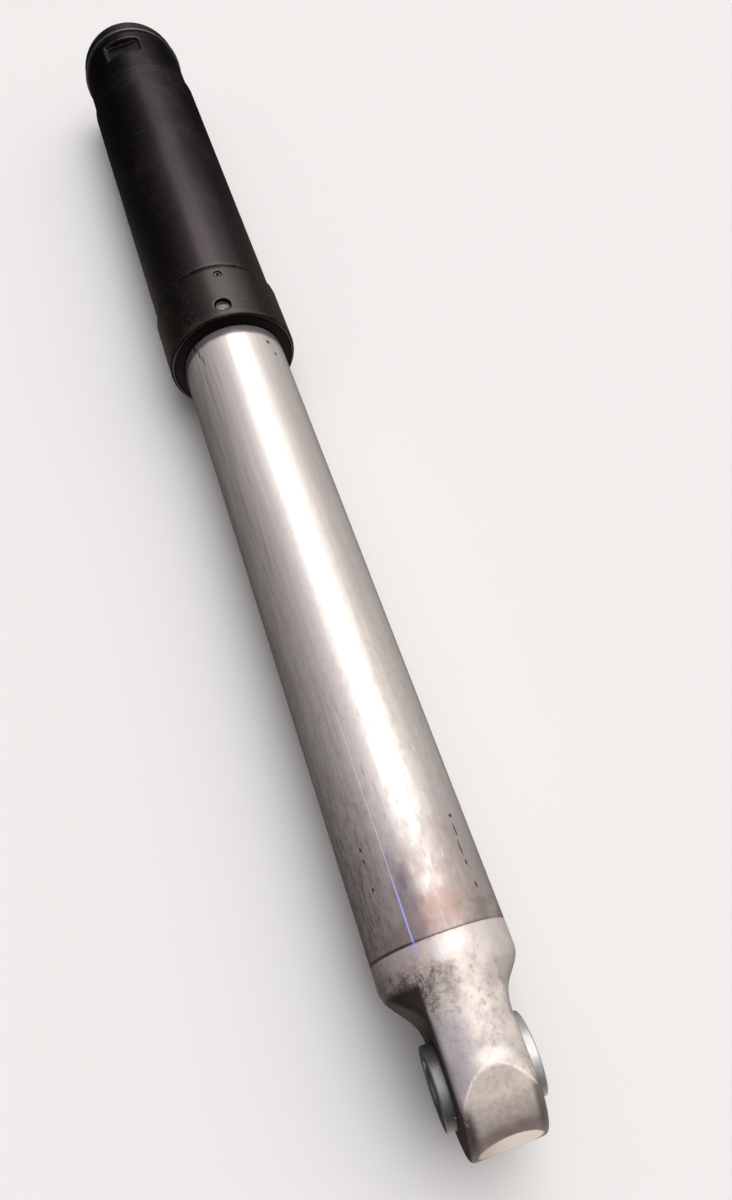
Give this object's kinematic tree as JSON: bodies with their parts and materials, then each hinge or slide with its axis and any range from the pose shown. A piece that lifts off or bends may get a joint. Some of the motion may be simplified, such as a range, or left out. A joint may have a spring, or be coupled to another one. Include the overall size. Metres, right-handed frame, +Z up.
{
  "type": "telescopic hydraulic cylinder",
  "caption": "Telescopic hydraulic cylinder: black barrel with a screwed collar, a long silver plunger that slides and turns in it, and a forged eye end with flanged bushes.",
  "frame": {"origin": "centre of the closed end face of the barrel, where the oil port opens", "axes": "+X along the cylinder from the closed end to the eye, +Y along the eye's pin, +Z up, out of the eye's front"},
  "size_m": [0.746, 0.0756, 0.0756],
  "materials": {
    "barrel_black": "satin black coating, slightly purple in the light",
    "collar_black": "worn black oxide, dull brown-grey where rubbed",
    "wiper_rubber": "matt black",
    "o_ring_rubber": "matt black",
    "seal_polyurethane": "smooth, slightly glossy",
    "bearing_plastic": "filled PTFE, matt",
    "bronze": "fine turned",
    "ring_steel": "blued spring steel",
    "screw_steel": "bright",
    "plunger_steel": "satin ground, fine lengthwise scratches",
    "forged_steel": "blasted forging, mottled, dull",
    "machined_steel": "turned",
    "bush_steel": "smooth, cooler grey than the forging"
  },
  "bodies": {
    "barrel": {"barrel_tube": "barrel_black", "base_cap": "barrel_black", "base_cap_o_ring": "o_ring_rubber", "base_retaining_ring": "ring_steel", "gland_collar": "collar_black", "gland_lock_screw": "screw_steel", "wiper_seal": "wiper_rubber", "rod_seal": "seal_polyurethane", "rod_seal_backup_ring": "bearing_plastic", "guide_bush": "bronze", "gland_o_ring": "o_ring_rubber"},
    "inner_rings": {"stop_ring": "ring_steel", "guide_ring_front": "bearing_plastic", "guide_ring_rear": "bearing_plastic"},
    "plunger": {"plunger_tube": "plunger_steel", "plunger_end_plug": "machined_steel", "plug_o_ring": "o_ring_rubber", "plug_retaining_ring": "ring_steel", "eye_end": "forged_steel", "left_bush": "bush_steel", "right_bush": "bush_steel"}
  },
  "joints": [
    {"name": "plunger_slide", "type": "slide", "parent": "barrel", "child": "inner_rings", "axis": [-1, 0, 0], "range_m": [0, 0.195]},
    {"name": "plunger_swivel", "type": "hinge", "parent": "inner_rings", "child": "plunger", "pos_m": [0.3, 0, 0], "axis": [1, 0, 0], "continuous": true}
  ]
}
